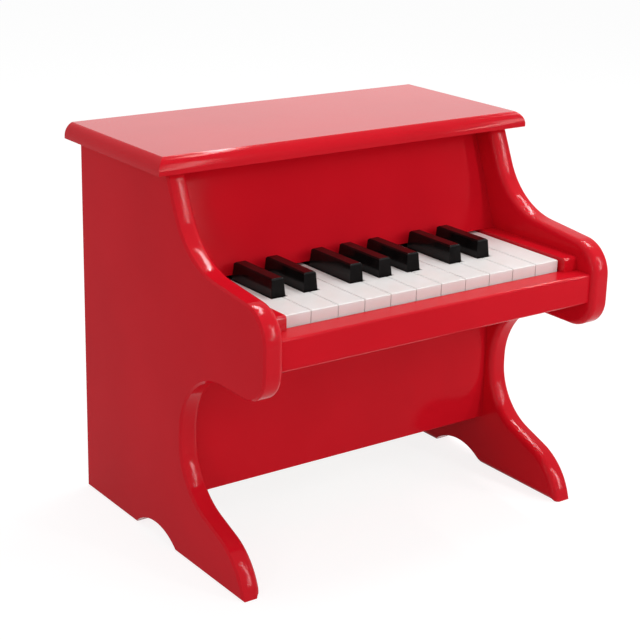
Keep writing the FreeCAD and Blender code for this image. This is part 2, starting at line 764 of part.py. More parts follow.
def make_white_key(note, white, middle_share):
    """White key and its lever, cut away beside the black keys, with its origin on its own axis."""
    x = keyboard_left + S.white_pitch * white
    body = new_body(f"key_{note}", x, rear_plane - pivot_reach, key_underside)
    plan = new_sketch(body, "plan", "XY_Plane")
    front = pivot_reach - key_front_reach
    rear = pivot_reach - key_rear_reach
    shoulder = pivot_reach - black_front_reach - S.black_front_gap
    cut_back = S.black_width / 2 + S.black_side_gap
    left = S.white_gap / 2
    right = S.white_pitch - S.white_gap / 2
    corners = [(left, front), (right, front)]
    black_right = black_between(white + 1)
    black_left = black_between(white)
    if black_right is None:
        corners.append((right, rear))
    else:
        inner_right = S.white_pitch * (black_right - white) - cut_back
        corners += [(right, shoulder), (inner_right, shoulder), (inner_right, rear)]
    if black_left is None:
        corners.append((left, rear))
    else:
        inner_left = S.white_pitch * (black_left - white) + cut_back
        corners += [(inner_left, rear), (inner_left, shoulder), (left, shoulder)]
    draw_polygon(plan, corners)
    lever = pad(body, "lever", plan, S.key_thickness)

    def on_top(edge):
        return lies_at(edge, "z", S.key_thickness.number)

    ease_edges(body, lever, on_top, S.white_edge_chamfer)
    cut_pin_slot(body, "front_slot", S.white_pitch / 2, white_pin_reach)
    cut_pin_slot(body, "balance_slot", S.white_pitch * (middle_share - white), pivot_reach)
    return body


def make_black_key(note, middle_share):
    """Black key on its lever, with its origin on its own axis."""
    x = keyboard_left + S.white_pitch * middle_share
    body = new_body(f"key_{note}", x, rear_plane - pivot_reach, key_underside)
    half_width = S.black_width / 2
    front = pivot_reach - black_front_reach
    rear = pivot_reach - key_rear_reach
    stick = new_sketch(body, "stick", "XY_Plane")
    draw_polygon(stick, rectangle(-half_width, half_width, front, rear))
    pad(body, "lever", stick, S.key_thickness)
    cap = new_sketch(body, "cap", "XY_Plane", S.key_thickness)
    cap_rear = pivot_reach - fallboard_foot_reach - S.black_rear_gap
    draw_polygon(cap, rectangle(-half_width, half_width, front, cap_rear))
    raised = pad(body, "raised_key", cap, S.black_height)
    bind(raised, "TaperAngle", -S.black_taper)
    doc.recompute()
    top = S.key_thickness + S.black_height

    def on_top(edge):
        return lies_at(edge, "z", top.number)

    ease_edges(body, raised, on_top, S.black_edge_chamfer)
    cut_pin_slot(body, "front_slot", ZERO, black_pin_reach)
    cut_pin_slot(body, "balance_slot", ZERO, pivot_reach)
    return body


def turned_corners(way, corners):
    """Corners given along a direction and to the left of it, in the sketch's own directions."""
    return [(way[0] * along - way[1] * left, way[1] * along + way[0] * left) for along, left in corners]


def make_hammer(note, middle_share):
    """Hammer on its own axis: square butt, heel with a foot over the key's tail, shank and head."""
    x = keyboard_left + S.white_pitch * middle_share
    body = new_body(f"hammer_{note}", x, rear_plane - S.hammer_pivot_reach, hammer_pivot_height)
    half_butt = S.butt_size / 2
    half_arm = S.hammer_arm_thickness / 2
    butt = new_sketch(body, "butt_outline", "YZ_Plane")
    draw_polygon(butt, rectangle(-half_butt, half_butt, -half_butt, half_butt))
    pad(body, "butt", butt, S.white_pitch * lever_share(LONG_RUN) - S.hammer_gap, symmetric=True)

    heel_way = (-cosine(S.hammer_swing / 2), -sine(S.hammer_swing / 2))
    foot_top = S.foot_top_width / 2
    foot_tip = S.foot_tip_width / 2
    heel_corners = [
        (ZERO, -half_arm),
        (S.heel_length + foot_top, -half_arm),
        (S.heel_length + foot_top, half_arm),
        (S.heel_length + foot_tip, S.foot_depth),
        (S.heel_length - foot_tip, S.foot_depth),
        (S.heel_length - foot_top, half_arm),
        (ZERO, half_arm),
    ]
    heel = new_sketch(body, "heel_outline", "YZ_Plane")
    draw_polygon(heel, turned_corners(heel_way, heel_corners))
    pad(body, "heel", heel, S.hammer_arm_width, symmetric=True)

    shank_way = (-sine(S.shank_lean), cosine(S.shank_lean))
    shank = new_sketch(body, "shank_outline", "YZ_Plane")
    draw_polygon(shank, turned_corners(shank_way, rectangle(ZERO, shank_length, -half_arm, half_arm)))
    pad(body, "shank", shank, S.hammer_arm_width, symmetric=True)

    low = shank_length - S.head_height / 2
    high = shank_length + S.head_height / 2
    strike = -(S.head_length / 2)
    head_corners = [
        (low, -strike),
        (low, strike + S.head_corner),
        (low + S.head_corner, strike),
        (high - S.head_corner, strike),
        (high, strike + S.head_corner),
        (high, -strike),
    ]
    head = new_sketch(body, "head_outline", "YZ_Plane")
    draw_polygon(head, turned_corners(shank_way, head_corners))
    pad(body, "head", head, S.head_width, symmetric=True)

    bore = new_sketch(body, "bore", "YZ_Plane")
    draw_circle(bore, ZERO, ZERO, S.hammer_shaft_diameter / 2 + S.running_clearance)
    pocket(body, "shaft_bore", bore, S.white_pitch * 2, symmetric=True)
    return body


def make_hammer_shaft():
    shaft = doc.addObject("Part::Cylinder", "hammer_shaft")
    half_length = half_inner + S.hammer_shaft_seat
    bind(shaft, "Radius", S.hammer_shaft_diameter / 2)
    bind(shaft, "Height", half_length * 2)
    sideways = FreeCAD.Rotation(FreeCAD.Vector(0, 1, 0), 90)
    shaft.Placement = FreeCAD.Placement(FreeCAD.Vector(0, 0, 0), sideways)
    place(shaft, -half_length, rear_plane - S.hammer_pivot_reach, hammer_pivot_height)
    return shaft


def make_tone_block():
    """Cast block on the back panel, with a slot for each tone bar."""
    body = new_body("tone_block")
    section = new_sketch(body, "section", "YZ_Plane")
    front = S.back_thickness + S.tone_block_depth
    top = tone_block_bottom + S.tone_block_height
    draw_polygon(section, rectangle(-front, -S.back_thickness, tone_block_bottom, top))
    pad(body, "block", section, (S.tone_block_end_margin - keyboard_left) * 2, symmetric=True)
    slots = new_sketch(body, "slot_places", "XY_Plane", tone_block_bottom)
    half_width = S.bar_width / 2 + S.seat_clearance
    front = -bar_reach - S.bar_thickness / 2 - S.seat_clearance
    rear = -bar_reach + S.bar_thickness / 2 + S.seat_clearance
    for note, white, middle_share in LAYOUT:
        x = keyboard_left + S.white_pitch * middle_share
        draw_polygon(slots, rectangle(x - half_width, x + half_width, front, rear))
    pocket(body, "slots", slots, S.bar_seat, reverse=True)
    return body


def make_tone_bars():
    """Steel bars that hang from the block, each a semitone shorter than the one before."""
    bars = []
    half_width = S.bar_width / 2
    front_reach = bar_reach + S.bar_thickness / 2
    rear_reach = bar_reach - S.bar_thickness / 2
    top = tone_block_bottom + S.bar_seat
    for step, (note, white, middle_share) in enumerate(LAYOUT):
        bottom = tone_block_bottom - S.bar_longest * 2 ** (-step / SEMITONES_PER_HALVED_LENGTH)
        x = keyboard_left + S.white_pitch * middle_share
        bars.append(make_box("bar", x - half_width, x + half_width, front_reach, rear_reach, bottom, top))
    return make_group("tone_bars", bars)


def stop_felt_top(reach):
    """Height of a felt that the keys come down to at the end of their dip."""
    ahead = reach + S.stop_felt_width / 2 - pivot_reach
    return key_underside - ahead * sine(S.key_dip) - S.felt_gap


def make_felts_and_rest():
    rest_reach = key_rear_reach + S.rest_inset
    rest_front = rest_reach + S.rest_width / 2
    rest_rear = rest_reach - S.rest_width / 2
    felt_top = key_underside - S.felt_gap
    felt_foot = felt_top - S.felt_thickness
    half_stop = S.stop_felt_width / 2
    left = keyboard_left
    right = -keyboard_left
    made = [
        make_box("key_rest_rail", left, right, rest_front, rest_rear, bed_top, felt_foot),
        make_box("key_rest_felt", left, right, rest_front, rest_rear, felt_foot, felt_top),
    ]
    stops = [
        ("white_stop_felt", key_front_reach - S.white_stop_setback),
        ("black_stop_felt", black_front_reach - S.black_stop_setback),
    ]
    for label, reach in stops:
        top = stop_felt_top(reach)
        made.append(make_box(label, left, right, reach + half_stop, reach - half_stop, bed_top, top))
    return made


def make_cabinet():
    knee = rectangle(-knee_face_reach, -knee_rear_reach, S.knee_foot_height, bed_underside)
    bottom = rectangle(-knee_rear_reach, -S.back_thickness, S.knee_foot_height, bottom_board_top)
    return [
        make_side_panel("left_side_panel", -1),
        make_side_panel("right_side_panel", 1),
        make_lid(),
        make_lid_battens(),
        make_back_panel(),
        make_board("fallboard", fallboard_section(ZERO), housed_width),
        make_board("knee_panel", knee, housed_width),
        make_board("bottom_board", bottom, housed_width),
        make_key_bed(),
        make_key_slip(),
        make_key_block("left_key_block", -1),
        make_key_block("right_key_block", 1),
    ]


def make_action():
    balance_pin_top = key_underside + S.balance_pin_entry
    front_pin_top = key_underside + S.front_pin_entry
    made = [
        make_balance_rail(),
        make_pins("balance_pins", balance_pin_places(), rail_top - S.pin_seat, balance_pin_top),
        make_pins("front_guide_pins", front_pin_places(), bed_top - S.pin_seat, front_pin_top),
        make_hammer_shaft(),
        make_tone_block(),
        make_tone_bars(),
    ]
    made += make_felts_and_rest()
    for note, white, middle_share in LAYOUT:
        if white is None:
            made.append(make_black_key(note, middle_share))
        else:
            made.append(make_white_key(note, white, middle_share))
    for note, white, middle_share in LAYOUT:
        made.append(make_hammer(note, middle_share))
    return made


def write_parts(pieces):
    """Check every object and sub-part, then write each sub-part to its own file."""
    doc.recompute()
    for item in doc.Objects:
        if "Invalid" in item.State or "Error" in item.State:
            raise RuntimeError(f"{item.Label} did not build: {item.State}")
    for piece in pieces:
        if piece.Shape.isNull() or not piece.Shape.isValid() or not piece.Shape.Solids:
            raise RuntimeError(f"{piece.Label} has no sound solid")
    os.makedirs("parts", exist_ok=True)
    for piece in pieces:
        piece.Shape.exportStep(f"parts/{piece.Label}.step")
    print(f"{len(pieces)} sub-parts, {sum(len(piece.Shape.Solids) for piece in pieces)} solids")


write_parts(make_cabinet() + make_action())
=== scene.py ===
import math
from typing import NamedTuple

import bmesh
import bpy
from bpy.props import FloatProperty, FloatVectorProperty, IntProperty, PointerProperty
from bpy.types import Operator, Panel, PropertyGroup
from mathutils import Matrix, Vector


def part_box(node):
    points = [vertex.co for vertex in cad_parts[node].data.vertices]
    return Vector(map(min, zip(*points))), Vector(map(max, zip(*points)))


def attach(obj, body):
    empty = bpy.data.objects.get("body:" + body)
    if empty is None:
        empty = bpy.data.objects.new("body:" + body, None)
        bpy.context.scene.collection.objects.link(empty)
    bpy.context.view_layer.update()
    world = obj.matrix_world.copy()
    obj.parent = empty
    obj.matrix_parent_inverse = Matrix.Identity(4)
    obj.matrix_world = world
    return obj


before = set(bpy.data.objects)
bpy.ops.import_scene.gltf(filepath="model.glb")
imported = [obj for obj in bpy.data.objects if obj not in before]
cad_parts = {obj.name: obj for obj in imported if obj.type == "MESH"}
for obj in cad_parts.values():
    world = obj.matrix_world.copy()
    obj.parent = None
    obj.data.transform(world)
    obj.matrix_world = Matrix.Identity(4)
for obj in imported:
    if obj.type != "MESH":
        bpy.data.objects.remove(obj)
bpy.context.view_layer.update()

bl_info = {
    "name": "Toy Upright Piano",
    "version": (1, 0, 0),
    "blender": (4, 5, 0),
    "location": "View3D > Sidebar > Toy Piano",
    "description": "Lacquers the parts of a toy upright piano, adds its screws and sets it on a pale floor",
    "category": "Object",
}

CABINET = "cabinet"
SIDE_BOARDS = ["left_side_panel", "right_side_panel"]
UPRIGHT_BOARDS = ["knee_panel", "back_panel"]
BARE_BOARDS = ["bottom_board", "key_bed", "lid_battens", "balance_rail", "key_rest_rail"]
FELTS = ["key_rest_felt", "white_stop_felt", "black_stop_felt"]
STEEL_PIECES = ["balance_pins", "front_guide_pins", "hammer_shaft", "tone_bars"]

# Colours of the pieces inside the cabinet.
PALE_WOOD, BROWN_WOOD, PORE_BROWN = (0.62, 0.44, 0.26), (0.45, 0.29, 0.155), (0.2, 0.115, 0.055)
DARK_FELT, GREEN_FELT, FELT_FIBRE = (0.05, 0.1, 0.06), (0.085, 0.15, 0.09), (0.14, 0.2, 0.14)
BRIGHT_STEEL, STAINED_STEEL = (0.58, 0.57, 0.56), (0.44, 0.43, 0.42)
DARK_CASTING, PALE_CASTING = (0.13, 0.13, 0.135), (0.19, 0.185, 0.18)
CREAM_PLASTIC, DEEP_CREAM = (0.68, 0.64, 0.54), (0.6, 0.55, 0.45)

# Run of a noise between its rare ends, and the sockets of a node that mixes colours.
NOISE_LOW, NOISE_HIGH = 0.3, 0.7
MIX_FACTOR, MIX_FIRST, MIX_SECOND, MIX_RESULT = 0, 6, 7, 2

# Where a face turns into an edge, and how far smears change the lacquer's roughness.
EDGE_FACING, FACE_FACING = 0.85, 0.98
SMOOTHEST_SHARE, ROUGHEST_SHARE = 0.8, 1.3
# How much lighter the black paint is where it lies thin.
THIN_BLACK_SHARE = 2.2

# Softened edges.
WELD_DISTANCE = 0.000002
EDGE_STEPS = 3
SHARP_EDGE = math.radians(20)
FULL_WEIGHT = 100

# Screw heads, as shares of their height or diameter.
RIM_SHARE = 0.3
SLOT_LENGTH_SHARE = 0.62
SLOT_FLOOR_SHARE = 0.35
SLOT_TOP_SHARE = 1.4
SLOT_TAPER_SHARE = 0.55
JOIN_SHARE = 0.001
CROWN_STEPS = 6
HEAD_STEPS = 40
QUARTER_TURN = math.radians(90)
HEAD_CREASE = math.radians(35)
SLOT_TURN = math.radians(37)
# Outermost screws in the tone block, as a share of its half length.
BLOCK_SPAN_SHARE = 0.8

# Greys of the floor: where it lights other things, where it is seen in the light, and its own glow there.
FLOOR_TONE, SEEN_TONE, GLOW_TONE = 0.75, 0.26, 0.84
FRAME_WIDTH = 36.0
UP = Vector((0.0, 0.0, 1.0))
SIDEWAYS = Vector((1.0, 0.0, 0.0))
MIDDLE = (0.0, 0.0, 0.15)
LEFT_FRONT = (-0.15, -0.06, 0.15)
RIGHT_FRONT = (0.15, -0.06, 0.15)


class Film(NamedTuple):
    """Lacquer on like boards. Where it names a face_axis, the broad faces look along that axis.

    The edges beside those faces then have a shine of their own.
    """

    name: str
    boards: list
    grain: tuple
    shine: float
    face_axis: str = ""
    edge_shine: float = 0.0
    crowned: bool = False


class Softbox(NamedTuple):
    """Rectangular soft light that faces its aim, with a power in watts."""

    name: str
    place: tuple
    aim: tuple
    width: float
    length: float
    power: float


# The grain is drawn out along the axis whose share is small.
UPRIGHT_GRAIN, SIDEWAYS_GRAIN, DEEP_GRAIN = (1.0, 1.0, 0.03), (0.03, 1.0, 1.0), (1.0, 0.03, 1.0)
FILMS = (
    Film("side_lacquer", SIDE_BOARDS, UPRIGHT_GRAIN, 0.026, face_axis="X", edge_shine=0.085, crowned=True),
    Film("upright_lacquer", UPRIGHT_BOARDS, UPRIGHT_GRAIN, 0.05),
    Film("lid_lacquer", ["lid"], SIDEWAYS_GRAIN, 0.38, face_axis="Z", edge_shine=0.07),
    Film("fallboard_lacquer", ["fallboard"], SIDEWAYS_GRAIN, 0.015),
    Film("slip_lacquer", ["key_slip"], SIDEWAYS_GRAIN, 0.04, face_axis="Y", edge_shine=0.1),
    Film("block_lacquer", ["left_key_block", "right_key_block"], DEEP_GRAIN, 0.2),
)
SOFTBOXES = (
    Softbox("left_front_strip", (0.445, -0.96, 0.62), LEFT_FRONT, 0.028, 0.8, 2.35),
    Softbox("right_front_strip", (1.06, -0.96, 0.62), RIGHT_FRONT, 0.028, 0.8, 2.35),
    Softbox("left_top_strip", (0.57, 0.21, 1.4), LEFT_FRONT, 0.04, 0.87, 5.0),
    Softbox("right_top_strip", (1.25, 0.21, 1.4), RIGHT_FRONT, 0.04, 0.87, 3.4),
    Softbox("left_strip", (-1.35, -0.75, 0.6), LEFT_FRONT, 0.15, 1.1, 2.5),
    Softbox("top_softbox", (0.0, 0.1, 2.2), MIDDLE, 1.2, 1.0, 6.5),
)


class LacquerSettings(PropertyGroup):
    """Red lacquer of the cabinet."""

    red: FloatVectorProperty(
        name="Red",
        description="Colour of the lacquer where it lies thin",
        default=(0.68, 0.0075, 0.018),
        subtype="COLOR",
        min=0.0,
        max=1.0,
    )
    deep_red: FloatVectorProperty(
        name="Deep red",
        description="Colour of the lacquer where it has gathered",
        default=(0.61, 0.006, 0.015),
        subtype="COLOR",
        min=0.0,
        max=1.0,
    )
    roughness: FloatProperty(
        name="Roughness",
        description="Roughness of the polished film",
        default=0.1,
        subtype="FACTOR",
        min=0.0,
        max=1.0,
    )
    panel_roughness: FloatProperty(
        name="Panel roughness",
        description="Roughness of the film on the side panels, which are polished more",
        default=0.06,
        subtype="FACTOR",
        min=0.0,
        max=1.0,
    )
    grain_depth: FloatProperty(
        name="Grain depth",
        description="Height of the wood's grain where it shows through the film",
        default=0.00002,
        subtype="DISTANCE",
        unit="LENGTH",
        min=0.0,
    )
    peel_depth: FloatProperty(
        name="Peel depth",
        description="Height of the fine dimples that spraying leaves",
        default=0.000012,
        subtype="DISTANCE",
        unit="LENGTH",
        min=0.0,
    )
    edge_crown: FloatProperty(
        name="Edge crown",
        description="How far sanding rounds the side panels' edges, from their sides to their middle",
        default=0.00026,
        subtype="DISTANCE",
        unit="LENGTH",
        min=0.0,
    )
    edge_radius: FloatProperty(
        name="Edge radius",
        description="Softened edges of the boards, where the film rounds them",
        default=0.0006,
        subtype="DISTANCE",
        unit="LENGTH",
        min=0.0,
    )


class KeySettings(PropertyGroup):
    """Paint of the white and black keys."""

    white: FloatVectorProperty(
        name="White",
        description="Paint of the white keys",
        default=(0.87, 0.865, 0.855),
        subtype="COLOR",
        min=0.0,
        max=1.0,
    )
    warm_white: FloatVectorProperty(
        name="Warm white",
        description="Paint of the white keys where it lies thin on the wood",
        default=(0.83, 0.8, 0.765),
        subtype="COLOR",
        min=0.0,
        max=1.0,
    )
    black: FloatVectorProperty(
        name="Black",
        description="Paint of the black keys",
        default=(0.004, 0.0032, 0.0032),
        subtype="COLOR",
        min=0.0,
        max=1.0,
    )
    edge_radius: FloatProperty(
        name="Edge radius",
        description="Softened edges of the keys",
        default=0.0003,
        subtype="DISTANCE",
        unit="LENGTH",
        min=0.0,
    )


class ScrewSettings(PropertyGroup):
    """Screws that hold the back panel."""

    head_diameter: FloatProperty(
        name="Head diameter",
        description="Across the round head",
        default=0.0072,
        subtype="DISTANCE",
        unit="LENGTH",
        min=0.001,
    )
    head_height: FloatProperty(
        name="Head height",
        description="Crown of the head above the panel",
        default=0.002,
        subtype="DISTANCE",
        unit="LENGTH",
        min=0.0002,
    )
    slot_width: FloatProperty(
        name="Slot width",
        description="Width of each arm of the cross slot",
        default=0.0011,
        subtype="DISTANCE",
        unit="LENGTH",
        min=0.0001,
    )
    end_margin: FloatProperty(
        name="End margin",
        description="Outermost screws to the panel's upper and lower edge",
        default=0.02,
        subtype="DISTANCE",
        unit="LENGTH",
        min=0.0,
    )
    per_side: IntProperty(
        name="Screws per side",
        description="Screws along each upright edge of the back panel",
        default=3,
        min=2,
    )
    into_block: IntProperty(
        name="Screws into the block",
        description="Screws through the back panel into the tone block",
        default=3,
        min=2,
    )


class StageSettings(PropertyGroup):
    """Floor, lights and camera."""

    floor_size: FloatProperty(
        name="Floor size",
        description="Side of the square floor",
        default=40.0,
        subtype="DISTANCE",
        unit="LENGTH",
        min=1.0,
    )
    camera_place: FloatVectorProperty(
        name="Camera place",
        description="Where the camera stands",
        default=(-0.6977, -0.92845, 0.546),
        subtype="TRANSLATION",
        unit="LENGTH",
    )
    azimuth: FloatProperty(
        name="Azimuth",
        description="How far the camera stands to the right of the front",
        default=math.radians(-35.345),
        subtype="ANGLE",
        unit="ROTATION",
    )
    elevation: FloatProperty(
        name="Elevation",
        description="How far the camera looks down",
        default=math.radians(17.706),
        subtype="ANGLE",
        unit="ROTATION",
    )
    roll: FloatProperty(
        name="Roll",
        description="Turn of the camera about its own line of sight",
        default=math.radians(1.207),
        subtype="ANGLE",
        unit="ROTATION",
    )
    lens: FloatProperty(
        name="Lens",
        description="Focal length in millimetres on a 36 mm frame",
        default=88.734,
        min=10.0,
    )
    shift: FloatVectorProperty(
        name="Shift",
        description="Sideways and upward shift of the frame",
        size=2,
        default=(0.03086, -0.0497),
    )
    ambient: FloatProperty(
        name="Ambient",
        description="Light from all round",
        default=0.5,
        min=0.0,
    )


class ToyPianoSettings(PropertyGroup):
    """All settings of the toy piano."""

    lacquer: PointerProperty(type=LacquerSettings)
    keys: PointerProperty(type=KeySettings)
    screws: PointerProperty(type=ScrewSettings)
    stage: PointerProperty(type=StageSettings)


class FinishTree:
    """Node tree of one finish, with short calls to fill it."""

    def __init__(self, name):
        self.material = bpy.data.materials.new(name)
        self.material.use_nodes = True
        self.tree = self.material.node_tree
        self.tree.nodes.clear()
        self.coordinates = self.add("ShaderNodeTexCoord").outputs
        self.place = self.coordinates["Object"]

    def add(self, kind, sockets=None, **options):
        """Add a node. A socket takes a plain value, or the output that feeds it."""
        node = self.tree.nodes.new(kind)
        for option, value in options.items():
            setattr(node, option, value)
        for socket, value in (sockets or {}).items():
            self.feed(node.inputs[socket], value)
        return node

    def feed(self, socket, value):
        if isinstance(value, bpy.types.NodeSocket):
            self.tree.links.new(value, socket)
        else:
            socket.default_value = value

    def noise(self, waves, detail=2.0, stretch=(1.0, 1.0, 1.0), distortion=0.0):
        """Noise with so many waves per metre, drawn out along the axes whose stretch is small."""
        spread = self.add("ShaderNodeMapping", {"Vector": self.place, "Scale": stretch})
        sockets = {
            "Vector": spread.outputs["Vector"],
            "Scale": waves,
            "Detail": detail,
            "Distortion": distortion,
        }
        return self.add("ShaderNodeTexNoise", sockets).outputs["Fac"]

    def spread(self, value, low, high, start=NOISE_LOW, end=NOISE_HIGH):
        """Map a value's run from start to end onto the run from low to high."""
        sockets = {"Value": value, "From Min": start, "From Max": end, "To Min": low, "To Max": high}
        return self.add("ShaderNodeMapRange", sockets).outputs["Result"]

    def mix(self, share, first, second):
        """Blend two colours, each plain or from an output."""
        node = self.add("ShaderNodeMix", data_type="RGBA")
        for socket, value in ((MIX_FACTOR, share), (MIX_FIRST, first), (MIX_SECOND, second)):
            plain = not isinstance(value, bpy.types.NodeSocket) and hasattr(value, "__len__")
            self.feed(node.inputs[socket], (*value, 1.0) if plain else value)
        return node.outputs[MIX_RESULT]

    def bump(self, height, depth, below=None):
        """Relief of a height that runs from 0 to 1, over an earlier relief if there is one."""
        sockets = {"Height": height, "Distance": depth}
        if below is not None:
            sockets["Normal"] = below
        return self.add("ShaderNodeBump", sockets).outputs["Normal"]

    def facing(self, axis):
        """How far the surface faces along an axis, either way, from 0 to 1."""
        normal = self.add("ShaderNodeSeparateXYZ", {"Vector": self.coordinates["Normal"]})
        return self.calculate("ABSOLUTE", normal.outputs[axis])

    def calculate(self, operation, *values):
        """Result of one sum, from plain values or outputs."""
        return self.add("ShaderNodeMath", dict(enumerate(values)), operation=operation).outputs["Value"]

    def crown(self, low, high):
        """Arched height across a pair of mirrored boards, each from low to high beside the middle."""
        place = self.add("ShaderNodeSeparateXYZ", {"Vector": self.place}).outputs["X"]
        aside = self.calculate("SUBTRACT", self.calculate("ABSOLUTE", place), (low + high) / 2)
        share = self.calculate("DIVIDE", aside, (high - low) / 2)
        return self.calculate("SUBTRACT", 1.0, self.calculate("MULTIPLY", share, share))

    def surface(self, sockets):
        """Close the tree with a surface, and give the finished material back."""
        shader = self.add("ShaderNodeBsdfPrincipled", sockets)
        self.add("ShaderNodeOutputMaterial", {"Surface": shader.outputs["BSDF"]})
        return self.material


def make_lacquer(film, settings):
    """Sprayed lacquer on wood: slow changes of depth, fine dimples and a trace of the grain below.

    Broad faces that were rubbed down differ in shine from the edges. Sanding has crowned the edges of
    the side panels, and their film is polished more.
    """
    finish = FinishTree(film.name)
    depth = finish.noise(waves=9.0, detail=3.0)
    pores = finish.noise(waves=900.0, stretch=film.grain)
    dimples = finish.noise(waves=420.0, detail=1.0)
    smears = finish.noise(waves=38.0, detail=3.0)
    relief = finish.bump(pores, settings.grain_depth)
    relief = finish.bump(dimples, settings.peel_depth, relief)
    roughness = settings.roughness
    if film.crowned:
        low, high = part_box("right_side_panel")
        relief = finish.bump(finish.crown(low.x, high.x), settings.edge_crown, relief)
        roughness = settings.panel_roughness
    shine = film.shine
    if film.face_axis:
        facing = finish.facing(film.face_axis)
        shine = finish.spread(facing, film.edge_shine, film.shine, EDGE_FACING, FACE_FACING)
    return finish.surface(
        {
            "Base Color": finish.mix(finish.spread(depth, 0.0, 1.0), settings.red, settings.deep_red),
            "Roughness": finish.spread(smears, roughness * SMOOTHEST_SHARE, roughness * ROUGHEST_SHARE),
            "Specular IOR Level": shine,
            "Normal": relief,
        }
    )


def make_white_paint(settings):
    """Satin paint of the white keys, a little warmer where it lies thin."""
    finish = FinishTree("white_key_paint")
    cover = finish.noise(waves=60.0, detail=4.0)
    brushing = finish.noise(waves=1500.0, stretch=(1.0, 0.06, 1.0))
    smears = finish.noise(waves=140.0, detail=3.0)
    thin = finish.spread(cover, low=0.0, high=0.6)
    return finish.surface(
        {
            "Base Color": finish.mix(thin, settings.white, settings.warm_white),
            "Roughness": finish.spread(smears, low=0.3, high=0.42),
            "Specular IOR Level": 0.4,
            "Normal": finish.bump(brushing, depth=0.00001),
        }
    )


def make_black_paint(settings):
    """Gloss paint of the black keys, with smears that break up the shine, and thinner on their fronts."""
    finish = FinishTree("black_key_paint")
    cover = finish.noise(waves=80.0, detail=3.0)
    dimples = finish.noise(waves=700.0, detail=1.0)
    smears = finish.noise(waves=170.0, detail=4.0)
    lighter = [channel * THIN_BLACK_SHARE for channel in settings.black]
    shine = finish.spread(finish.facing("Y"), low=0.16, high=0.05, start=EDGE_FACING, end=FACE_FACING)
    return finish.surface(
        {
            "Base Color": finish.mix(finish.spread(cover, 0.0, 1.0), settings.black, lighter),
            "Roughness": finish.spread(smears, low=0.1, high=0.18),
            "Specular IOR Level": shine,
            "Normal": finish.bump(dimples, depth=0.00001),
        }
    )


def make_bare_wood():
    """Planed plywood without a finish."""
    finish = FinishTree("bare_wood")
    figure = finish.noise(waves=55.0, detail=5.0, stretch=(0.12, 1.0, 1.0), distortion=0.8)
    pores = finish.noise(waves=1400.0, stretch=(0.04, 1.0, 1.0))
    board = finish.mix(finish.spread(figure, 0.0, 1.0), PALE_WOOD, BROWN_WOOD)
    open_pores = finish.spread(pores, low=0.0, high=0.35, start=0.5, end=0.75)
    return finish.surface(
        {
            "Base Color": finish.mix(open_pores, board, PORE_BROWN),
            "Roughness": finish.spread(figure, low=0.55, high=0.75),
            "Specular IOR Level": 0.3,
            "Normal": finish.bump(pores, depth=0.00005),
        }
    )


def make_felt():
    """Pressed wool felt."""
    finish = FinishTree("wool_felt")
    fibres = finish.noise(waves=2600.0, detail=4.0, distortion=1.5)
    patches = finish.noise(waves=120.0, detail=3.0)
    tone = finish.mix(finish.spread(patches, 0.0, 1.0), DARK_FELT, GREEN_FELT)
    return finish.surface(
        {
            "Base Color": finish.mix(finish.spread(fibres, low=0.0, high=0.5), tone, FELT_FIBRE),
            "Roughness": finish.spread(fibres, low=0.85, high=1.0),
            "Sheen Weight": 0.4,
            "Sheen Roughness": 0.5,
            "Normal": finish.bump(fibres, depth=0.0002),
        }
    )


def make_steel():
    """Bright drawn steel."""
    finish = FinishTree("bright_steel")
    drawing = finish.noise(waves=3000.0, stretch=(1.0, 1.0, 0.03))
    stains = finish.noise(waves=90.0, detail=3.0)
    return finish.surface(
        {
            "Base Color": finish.mix(finish.spread(stains, 0.0, 1.0), BRIGHT_STEEL, STAINED_STEEL),
            "Metallic": 1.0,
            "Roughness": finish.spread(drawing, low=0.24, high=0.4),
            "Normal": finish.bump(drawing, depth=0.000006),
        }
    )


def make_cast_metal():
    """Grey cast metal with a sandy skin."""
    finish = FinishTree("cast_metal")
    sand = finish.noise(waves=1100.0, detail=4.0)
    patches = finish.noise(waves=70.0, detail=3.0)
    return finish.surface(
        {
            "Base Color": finish.mix(finish.spread(patches, 0.0, 1.0), DARK_CASTING, PALE_CASTING),
            "Metallic": 1.0,
            "Roughness": finish.spread(sand, low=0.5, high=0.7),
            "Normal": finish.bump(sand, depth=0.00015),
        }
    )


def make_hammer_plastic():
    """Moulded cream plastic of the hammers."""
    finish = FinishTree("hammer_plastic")
    clouds = finish.noise(waves=150.0, detail=3.0)
    skin = finish.noise(waves=1800.0)
    return finish.surface(
        {
            "Base Color": finish.mix(finish.spread(clouds, 0.0, 1.0), CREAM_PLASTIC, DEEP_CREAM),
            "Roughness": finish.spread(skin, low=0.42, high=0.58),
            "Normal": finish.bump(skin, depth=0.00002),
        }
    )


def give_finish(node, material):
    """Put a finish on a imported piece, in place of its plain one."""
    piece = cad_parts[node]
    piece.material_slots[0].link = "OBJECT"
    piece.material_slots[0].material = material


def soften_edges(node, radius):
    """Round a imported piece's sharp edges by a hair, so that they catch the light."""
    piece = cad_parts[node]
    weld = piece.modifiers.new("joined_corners", "WELD")
    weld.merge_threshold = WELD_DISTANCE
    bevel = piece.modifiers.new("soft_edges", "BEVEL")
    bevel.width = radius
    bevel.segments = EDGE_STEPS
    bevel.limit_method = "ANGLE"
    bevel.angle_limit = SHARP_EDGE
    shading = piece.modifiers.new("even_shading", "WEIGHTED_NORMAL")
    shading.keep_sharp = False
    shading.weight = FULL_WEIGHT


def settings_of(context):
    return context.scene.toy_piano


def is_key(node):
    """Each key has a hammer of the same note."""
    return node.startswith("key_") and f"hammer_{node.removeprefix('key_')}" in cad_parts


def is_black(key):
    """A black key's note has an s for sharp."""
    return key.removeprefix("key_")[1] == "s"


def key_nodes(black):
    """Nodes of the black or the white keys."""
    return [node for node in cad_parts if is_key(node) and is_black(node) == black]


